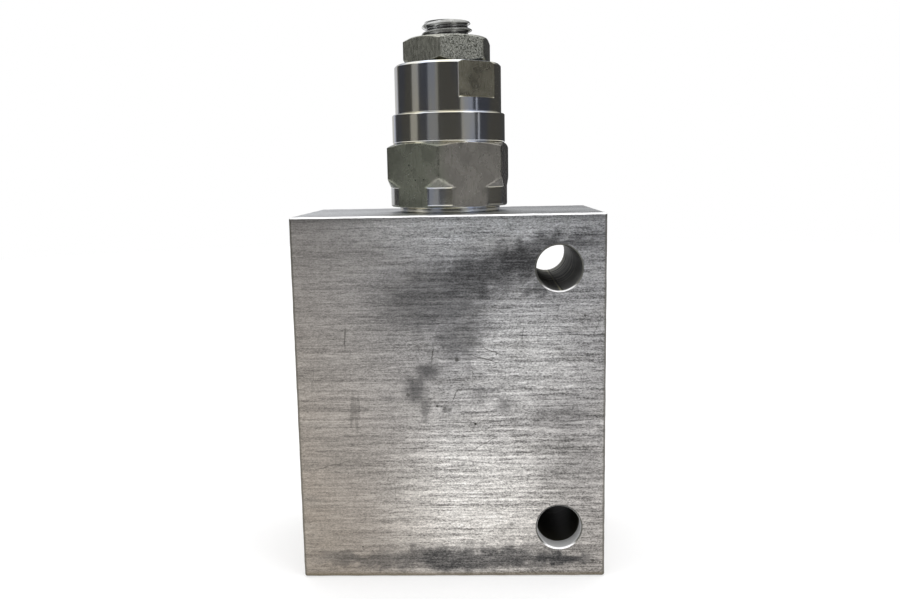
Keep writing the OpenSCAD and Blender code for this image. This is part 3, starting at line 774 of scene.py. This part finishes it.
def rubber_paint():
    """Black seal rubber with a faint mould texture."""
    p = Paint("seal_rubber", metallic=0.0, roughness=0.55)
    grain = p.noise(p.place, 6.0, 3.0, 0.6)
    colour = p.mix(grain, (0.010, 0.010, 0.011), (0.030, 0.030, 0.032))
    return p.finish(colour, p.remap(grain, 0.2, 0.8, 0.42, 0.62), p.bump(grain, 0.01))


def backup_paint():
    """Ivory fluoroplastic with a waxy, slightly mottled face."""
    p = Paint("backup_plastic", metallic=0.0, roughness=0.4)
    cloud = p.noise(p.place, 1.2, 3.0, 0.6)
    colour = p.mix(cloud, (0.62, 0.56, 0.44), (0.78, 0.74, 0.64))
    return p.finish(colour, p.remap(cloud, 0.2, 0.8, 0.34, 0.5), p.bump(cloud, 0.01))


def floor_paint():
    """A pale, matt floor that glows a little, so that it comes out white."""
    p = Paint("pale_floor", metallic=0.0, roughness=0.8, Specular_IOR_Level=0.0, Emission_Strength=0.45)
    p.shader.inputs["Emission Color"].default_value = (1, 1, 1, 1)
    cloud = p.noise(p.place, 0.02, 3.0, 0.5)
    return p.finish(p.mix(cloud, (0.60, 0.60, 0.60), (0.64, 0.64, 0.64)))


# ---------------------------------------------------------------- pieces


def port_cutter(radius, depth, seal_r, drill_r, reach):
    """A threaded port's hollow, down -Z from a face at the origin."""
    seal_depth, chamfer, over = 0.4, 0.9, 1.0
    point = (radius - drill_r) * math.tan(math.radians(31))
    outline = np.array([
        [0, over], [seal_r, over], [seal_r, -seal_depth], [radius + chamfer, -seal_depth],
        [radius, -seal_depth - chamfer], [radius, -depth], [drill_r, -depth - point],
        [drill_r, -reach], [0, -reach - drill_r * 0.6]])
    outline = divided(outline, PORT_PITCH / 9, closed=False)
    mouth = -seal_depth - chamfer

    def shape(r, z, angles):
        groove = thread(angles, z, 0.0, PORT_PITCH, radius, 0.64 * PORT_PITCH)
        threaded = (z > -depth - 0.02) & (z < -seal_depth - 0.05) & (r <= radius + chamfer)
        flare = radius + np.clip(z - mouth, 0, chamfer) - 0.75 * chamfer * (z > mouth - 0.01)
        return np.where(threaded & (r > 0.5), np.maximum(groove, np.where(z > mouth, flare, 0)), r)

    return turned("port_cutter", outline, columns(96), shape, closed=False)


def mount_cutter(z):
    """A mounting hole's hollow through the block, with a small chamfer at each mouth."""
    half, over, c = BLOCK_HIGH[1], 1.0, 0.4
    outline = rounded([
        [0, -half - over], [MOUNT_R + c + over, -half - over], [MOUNT_R, -half + c],
        [MOUNT_R, half - c], [MOUNT_R + c + over, half + over], [0, half + over]], 0.1, closed=False)
    made = turned("mount_cutter", divided(outline, 1.0, closed=False), columns(120), closed=False)
    turn = Matrix.Rotation(math.pi / 2, 4, "X")
    return place(made, Matrix.Translation(Vector((MOUNT_X, 0, z)) * MM) @ turn)


def cavity_cutter():
    """The stepped cavity that the cartridge screws into."""
    outline = np.array([
        [0, TOP_Z + 1], [11.3, TOP_Z + 1], [11.3, TOP_Z - 0.2], [10, TOP_Z - 2.6], [10, TOP_Z - 14],
        [9.2, TOP_Z - 14.5], [9.2, TOP_Z - 22], [8.6, TOP_Z - 22.5], [8.6, TOP_Z - 40],
        [7.9, TOP_Z - 40.5], [7.9, TOP_Z - 68], [0, TOP_Z - 72.8]])
    return turned("cavity_cutter", divided(outline, 1.5, closed=False), columns(96), closed=False)


def grid_box(low, high, longest):
    """A box as a bmesh, in metres, whose faces are square grids of about that size in millimetres."""
    work = bmesh.new()
    counts = [round(s / longest) for s in high - low]
    lines = [np.linspace(a, b, n + 1) for a, b, n in zip(low, high, counts)]
    made = {}

    def vertex(places):
        """The vertex at those grid lines, as pairs of axis and number."""
        key = tuple(number for axis, number in sorted(places))
        if key not in made:
            made[key] = work.verts.new(Vector([line[n] for line, n in zip(lines, key)]) * MM)
        return made[key]

    for axis in (2, 1, 0):
        u, v = (other for other in range(3) if other != axis)
        for side in (0, counts[axis]):
            for i in range(counts[u]):
                for j in range(counts[v]):
                    around = ((i, j), (i + 1, j), (i + 1, j + 1), (i, j + 1))
                    work.faces.new([vertex([(axis, side), (u, a), (v, b)]) for a, b in around])
    bmesh.ops.recalc_face_normals(work, faces=work.faces)
    return work


def dent_edges(work):
    """Moves the points near two or more faces of the block in a little, unevenly, as filing by hand does."""
    low, high = Vector(BLOCK_LOW) * MM, Vector(BLOCK_HIGH) * MM
    reach = 0.8 * MM
    for v in work.verts:
        near = [axis for axis in range(3) if min(v.co[axis] - low[axis], high[axis] - v.co[axis]) < reach]
        if len(near) < 2:
            continue
        s = sum(v.co) / MM
        dip = 0.025 * (1 + math.sin(s * 1.13) * math.sin(s * 0.37 + 2.0)) + 0.01 * math.sin(s * 4.1)
        for axis in near:
            v.co[axis] += math.copysign(max(0.0, dip) * MM, -v.co[axis] + (low[axis] + high[axis]) / 2)


def make_block(paint):
    """The block: sawn from bar, its edges broken by hand, then bored."""
    work = grid_box(BLOCK_LOW, BLOCK_HIGH, 1.75)
    border = [e for e in work.edges if e.calc_face_angle(0) > 1]
    bevel = {"offset": 0.5 * MM, "segments": 3, "profile": 0.42, "affect": "EDGES", "clamp_overlap": True}
    bmesh.ops.bevel(work, geom=border, **bevel)
    dent_edges(work)
    mesh = bpy.data.meshes.new("block")
    work.to_mesh(mesh)
    work.free()
    block = bpy.data.objects.new("block", mesh)
    bpy.context.scene.collection.objects.link(block)
    ports = []
    for side, z, radius, depth, seal_r, drill_r, reach in PORTS:
        cutter = port_cutter(radius, depth, seal_r, drill_r, reach)
        ports.append(place(cutter, across_x(side, z)))
    half, r = BLOCK_HIGH[0], PILOT_DRILLING_R
    drilling = turned("drilling", np.array([[0, 0], [r, 0], [r, half], [0, half]]), columns(48), closed=False)
    along = Matrix.Rotation(math.pi / 2, 4, "Y")
    drilling = place(drilling, Matrix.Translation(Vector((-half, 0, PILOT_Z)) * MM) @ along)
    cut(block, [*ports, drilling, cavity_cutter(), *[mount_cutter(z) for z in MOUNT_ZS]])
    sharpen(block, 32)
    even = block.modifiers.new("even_normals", "WEIGHTED_NORMAL")
    even.keep_sharp = True
    stands_for(block, "valve_block", paint)


def make_cartridge(paint):
    """The cartridge body: nose and thread stretch below the top face, then land, hexagon and collar.

    The thread is drawn as a plain cylinder.
    """
    far_r = HEX_AF / 2 / math.cos(math.radians(30)) + 1  # beyond the hexagon's corners
    cone_z = HEX_Z + FOOT_H
    cone_top_z = cone_z + (far_r - FOOT_R) * math.tan(math.radians(55))
    crown_r = HEX_AF / 2 - 0.2
    crown_z = HEX_TOP_Z - (far_r - crown_r) * math.tan(math.radians(23))
    n = NOSE_Z
    outside = [
        [7.27, n], [7.87, n + 0.6], [7.87, n + 8.4], [6.65, n + 8.4], [6.65, n + 12.8], [7.87, n + 12.8],
        [7.87, n + 14.9], [7.67, n + 15.9], [7.67, n + 26.7], [8.57, n + 27.1], [8.57, n + 27.7],
        [7.05, n + 27.7], [7.05, n + 32.2], [8.57, n + 32.2], [8.57, n + 32.9], [8.2, n + 33.3],
        [8.2, n + 41.2], [9.07, n + 41.2], [9.97, n + 42.1], [9.97, n + 53.2], [8.7, n + 53.2],
        [8.7, TOP_Z + 0.02], [LAND_R - 0.15, TOP_Z + 0.02],
        [LAND_R, TOP_Z + 0.2], [LAND_R, HEX_Z - 0.25], [LAND_R - 0.2, HEX_Z], [FOOT_R - 0.35, HEX_Z],
        [FOOT_R, HEX_Z + 0.35], [FOOT_R, cone_z], [far_r, cone_top_z], [far_r, crown_z],
        [COLLAR_R - 0.25, HEX_TOP_Z], [COLLAR_R, HEX_TOP_Z + 0.25], [COLLAR_R, COLLAR_TOP_Z - 0.2],
        [COLLAR_R - 0.2, COLLAR_TOP_Z]]
    inside = [
        [11, COLLAR_TOP_Z], [11, n + 71.4], [9.6, n + 70.2], [9.6, n + 65], [7, n + 65],
        [7, n + 48.8], [5.5, n + 48.8], [5, n + 48.3], [5, n + 33.8], [3.78, n + 33.8],
        [3.78, n + 32], [5.2, n + 32], [5.2, n + 29.4], [3.78, n + 29.4], [3.78, n + 28.3],
        [5.5, n + 27.3], [5.5, n + 16.3], [4.3, n + 15.7], [4.3, n + 14.8], [5.5, n + 14.8],
        [5.5, n + 2.4], [6.15, n + 2.4], [6.15, n + 1.2], [5.5, n + 1.2], [5.5, n + 0.4], [5.9, n]]
    outline = divided(rounded(outside + inside, 0.12, 3), 1.5)
    outline = divided(outline, 0.3, above=TOP_Z)
    corner = FRONT - HEX_TURN

    def shape(r, z, angles):
        bar = hexagon(angles, HEX_AF, corner)
        in_bar = (z > HEX_Z - 0.01) & (z < HEX_TOP_Z + 0.01) & (r > LAND_R)
        return np.where(in_bar, smooth_min(r, bar, 0.12), r)

    body = turned("cartridge", outline, columns(150, corner_angles(corner)), shape)
    holes = []
    for count, r, z, turn in CROSS_HOLES:
        for i in range(count):
            hollow = np.array([[0, 3.0], [r, 3.0], [r, 9.0], [0, 9.0]])
            drill = turned("cross_hole", hollow, columns(32), closed=False)
            spin = Matrix.Rotation(math.radians(turn + i * 360 / count), 4, "Z")
            across = spin @ Matrix.Rotation(math.pi / 2, 4, "Y")
            holes.append(place(drill, Matrix.Translation(Vector((0, 0, z)) * MM) @ across))
    sharpen(cut(body, holes), 23)
    stands_for(body, "cartridge_body", paint)


def make_cap(paint):
    """The spring cap: screwed-in foot, round head, bevelled top and two wrench flats."""
    f = CAP_FOOT_Z
    outline = divided(rounded([
        [7, f], [9.07, f], [9.57, f + 0.5], [9.57, f + 1.6], [8.2, f + 1.6], [8.2, f + 3.7], [9.57, f + 3.7],
        [9.57, f + 5.3], [10.37, f + 6.3], [10.97, f + 6.9], [10.97, COLLAR_TOP_Z + 0.02],
        [CAP_R - 0.15, COLLAR_TOP_Z + 0.02], [CAP_R, COLLAR_TOP_Z + 0.17], [CAP_R, CAP_TOP_Z - CAP_BEVEL],
        [CAP_R - CAP_BEVEL, CAP_TOP_Z], [SCREW_BORE_R + 0.5, CAP_TOP_Z], [SCREW_BORE_R, CAP_TOP_Z - 0.5],
        [SCREW_BORE_R, f + 16.6], [SCREW_BORE_R + 0.5, f + 16.1], [7, f + 16.1]], 0.1), 0.3)
    normals = [FRONT + CAP_FLAT_TURN, FRONT + CAP_FLAT_TURN + 180]
    edge = math.degrees(math.acos(CAP_AF / 2 / CAP_R))

    def shape(r, z, angles):
        for normal in normals:
            off = (angles - normal + 180) % 360 - 180
            across = CAP_AF / 2 / np.cos(np.radians(np.clip(off, -60, 60)))
            flat = np.where(np.abs(off) < 60, across, 1e3)
            milled = (z > CAP_FLAT_Z) & (r > CAP_AF / 2 - 0.5)
            r = np.where(milled, smooth_min(r, flat, 0.05), r)
        return r

    near = [n + s * edge for n in normals for s in (-1, 1)]
    cap = turned("cap", outline, columns(192, near), shape)
    stands_for(sharpen(cap, 22), "spring_cap", paint)


def make_nut(paint):
    """The lock nut: a hexagon with both faces chamfered."""
    far_r = NUT_AF / 2 / math.cos(math.radians(30)) + 1
    crown_r = NUT_AF / 2 - 0.4
    drop = (far_r - crown_r) * math.tan(math.radians(28))
    outline = divided(rounded([
        [SCREW_BORE_R + 0.5, NUT_LOW_Z], [crown_r, NUT_LOW_Z], [far_r, NUT_LOW_Z + drop],
        [far_r, NUT_HIGH_Z - drop], [crown_r, NUT_HIGH_Z], [SCREW_BORE_R + 0.5, NUT_HIGH_Z],
        [SCREW_BORE_R, NUT_HIGH_Z - 0.5], [SCREW_BORE_R, NUT_LOW_Z + 0.5]], 0.1), 0.16)
    corner = FRONT - NUT_TURN

    def shape(r, z, angles):
        return np.where(r > 8, smooth_min(r, hexagon(angles, NUT_AF, corner, 0.3), 0.1), r)

    nut = turned("nut", outline, columns(180, corner_angles(corner)), shape)
    stands_for(sharpen(nut, 24), "lock_nut", paint)


def make_screw(paint):
    """The adjusting screw: a rolled thread, a chamfered end and a hexagon socket."""
    low, high = SCREW_LOW_Z, SCREW_HIGH_Z
    chamfer_r, chamfer_z = SCREW_R - 0.6, high - 1.1
    socket_r = SOCKET_AF / 2
    socket_z = high - 6
    outline = [
        [0, low], [4, low], [4, low + 1], [SCREW_R, low + 3], [SCREW_R, chamfer_z], [chamfer_r, high],
        [socket_r * 1.2, high], [socket_r * 1.12, high - 0.35], [socket_r * 1.12, socket_z],
        [0, socket_z - 1]]
    outline = divided(rounded(outline, 0.12, closed=False), SCREW_PITCH / 14, closed=False)
    outline = divided(outline, SCREW_PITCH / 30, closed=False, above=NUT_LOW_Z - 1)

    def shape(r, z, angles):
        rolled = thread(angles, z, SCREW_CREST_Z, SCREW_PITCH, SCREW_R, 0.61 * SCREW_PITCH)
        outer = (r > 4.05) & (z < high - 0.01)
        r = np.where(outer, smooth_min(r, rolled, 0.1), r)
        key = hexagon(angles, SOCKET_AF, FRONT, 0.1)
        walls = (r > socket_r) & (r < socket_r * 1.13) & (z > socket_z - 0.01)
        floor = (z > socket_z - 1.01) & (r < socket_r * 1.121)
        return np.where(walls, key, np.where(floor, np.minimum(r, key), r))

    screw = turned("screw", outline, columns(160), shape, closed=False)
    stands_for(sharpen(screw, 60), "adjusting_screw", paint)


# ---------------------------------------------------------------- studio


# Upright softboxes round the object: degrees from the front towards the right, width in degrees, brightness.
SOFTBOXES = ((-72, 17, 0.25), (-30, 22, 0.17), (42, 28, 0.24), (65, 2, 0.8))


def make_stage():
    """A wide pale floor under the block, soft lamps above, and upright softboxes for the metal to mirror."""
    mesh = bpy.data.meshes.new("floor")
    work = bmesh.new()
    bmesh.ops.create_circle(work, cap_ends=True, segments=96, radius=0.98)
    for v in work.verts:
        v.co.z = -0.02 * MM
    work.to_mesh(mesh)
    work.free()
    floor = bpy.data.objects.new("floor", mesh)
    bpy.context.scene.collection.objects.link(floor)
    mesh.materials.append(floor_paint())

    def lamp(name, stand, aim, size, power):
        """A soft lamp that stands at one place and aims at another, in metres."""
        data = bpy.data.lights.new(name, "AREA")
        data.shape = "RECTANGLE"
        data.size, data.size_y = size
        data.energy = power
        made = bpy.data.objects.new(name, data)
        made.location = stand
        made.rotation_mode = "QUATERNION"
        made.rotation_quaternion = (Vector(aim) - Vector(stand)).to_track_quat("-Z", "Y")
        made.visible_camera = False
        bpy.context.scene.collection.objects.link(made)

    lamp("overhead", (0.05, 0.1, 0.75), (0, 0, 0.05), (0.7, 0.6), 0.8)
    lamp("key_right", (0.55, -0.5, 0.6), (0, 0, 0.05), (0.35, 0.5), 0.9)
    lamp("key_left", (-0.7, -0.35, 0.5), (0, 0, 0.05), (0.3, 0.4), 0.5)
    far, tall, high = 1.6, 1.2, 0.1
    for number, (angle, width, brightness) in enumerate(SOFTBOXES, 1):
        wide = 2 * far * math.tan(math.radians(width / 2))
        turn = math.radians(angle)
        stand = (far * math.sin(turn), -far * math.cos(turn), high)
        lamp(f"softbox_{number}", stand, (0, 0, high), (wide, tall), brightness * math.pi * wide * tall)


def make_world():
    """White to the camera. To the metal, dim grey walls, a light card behind the block, a bright ceiling."""
    world = bpy.data.worlds.new("studio")
    world.use_nodes = True
    bpy.context.scene.world = world
    tree = world.node_tree
    tree.nodes.clear()
    new, link = tree.nodes.new, tree.links.new
    split = new("ShaderNodeSeparateXYZ")
    toward = new("ShaderNodeTexCoord").outputs["Generated"]
    link(toward, split.inputs[0])

    def blend(value, low, high, a, b):
        """Colour a where value is under low, b where it is over high."""
        share = new("ShaderNodeMapRange")
        share.interpolation_type = "SMOOTHSTEP"
        link(value, share.inputs["Value"])
        share.inputs["From Min"].default_value = low
        share.inputs["From Max"].default_value = high
        mixed = new("ShaderNodeMix")
        mixed.data_type = "RGBA"
        link(share.outputs[0], mixed.inputs["Factor"])
        for colour, socket in ((a, mixed.inputs["A"]), (b, mixed.inputs["B"])):
            if isinstance(colour, tuple):
                socket.default_value = (*colour, 1)
            else:
                link(colour, socket)
        return mixed.outputs["Result"]

    card = new("ShaderNodeVectorMath")
    card.operation = "DOT_PRODUCT"
    link(toward, card.inputs[0])
    card_turn = math.radians(20)
    card.inputs[1].default_value = (-math.sin(card_turn), math.cos(card_turn), 0)
    walls = blend(card.outputs["Value"], 0.88, 0.94, (0.055, 0.055, 0.058), (0.58, 0.58, 0.60))
    room = blend(split.outputs[2], 0.30, 0.75, walls, (1.3, 1.3, 1.3))
    seen = blend(new("ShaderNodeLightPath").outputs["Is Camera Ray"], 0.0, 1.0, room, (1.0, 1.0, 1.0))
    background = new("ShaderNodeBackground")
    link(seen, background.inputs["Color"])
    link(background.outputs[0], new("ShaderNodeOutputWorld").inputs["Surface"])


# ---------------------------------------------------------------- the scene

make_camera()
bpy.context.scene.view_settings.view_transform = "Standard"

make_block(block_paint())
make_cartridge(plated_paint("plated_hexagon", *HEXAGON_TINTS, 0.26, 0.3, 0.55, 0.05, turned_zone))
make_cap(plated_paint("plated_cap", *CAP_TINTS, 0.28, 0.7, rings=0.08, zone=cap_zone))
make_nut(nut_paint())
make_screw(plated_paint("plated_screw", *SCREW_TINTS, 0.15, 0.2))

ground = plated_paint("ground_steel", *GROUND_TINTS, 0.22, 0.05, rings=0.4)
wire = plated_paint("spring_wire", *WIRE_TINTS, 0.35, 0.15)
CARRIED = {
    ground: ("pilot_orifice", "check_sleeve", "check_spring_washer", "piston", "lower_spring_guide",
             "upper_spring_seat"),
    wire: ("check_spring", "retaining_ring", "main_spring"),
    rubber_paint(): ("body_o_ring", "upper_o_ring", "nose_o_ring", "stem_o_ring", "piston_o_ring",
                     "seat_o_ring", "cap_o_ring"),
    backup_paint(): ("upper_backup_rings", "nose_backup_rings", "stem_backup_ring", "piston_backup_ring"),
}
for paint, nodes in CARRIED.items():
    for name in nodes:
        node = frame["nodes"][name]
        node.data.materials.clear()
        node.data.materials.append(paint)

make_stage()
make_world()
